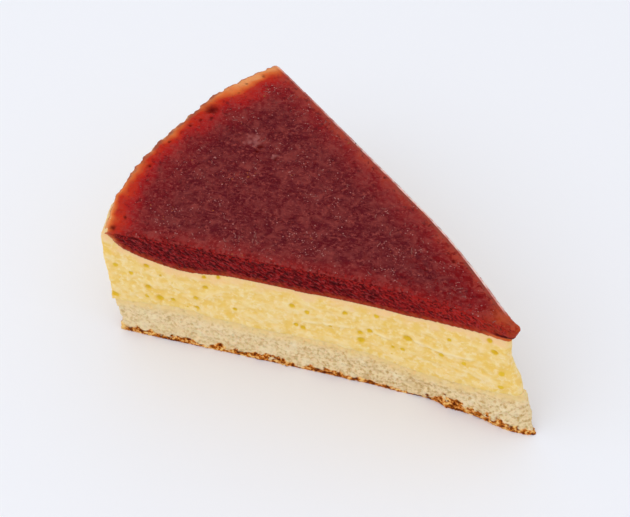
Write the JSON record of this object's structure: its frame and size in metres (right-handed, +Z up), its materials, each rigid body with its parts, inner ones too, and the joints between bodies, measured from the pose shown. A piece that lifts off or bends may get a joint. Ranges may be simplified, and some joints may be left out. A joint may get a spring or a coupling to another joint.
{
  "type": "vanilla cream cake slice",
  "caption": "Wedge cut from a round layered cake: thin browned sponge, thick vanilla cream and a berry jelly set in a shallow dish of the cream.",
  "frame": {"origin": "on the surface the slice stands on, under the middle of its bounding box", "axes": "+X from the round outer wall towards the pointed tip, +Z up, the cut face that the picture shows towards -Y"},
  "size_m": [0.1312, 0.083, 0.0454],
  "materials": {
    "sponge": "dry fine crumb, browned underneath",
    "cream": "soft set cream, satin",
    "jelly": "set fruit jelly, satin to glossy"
  },
  "bodies": {
    "root": {"sponge_base": "sponge", "vanilla_cream": "cream", "berry_jelly": "jelly"}
  },
  "joints": []
}
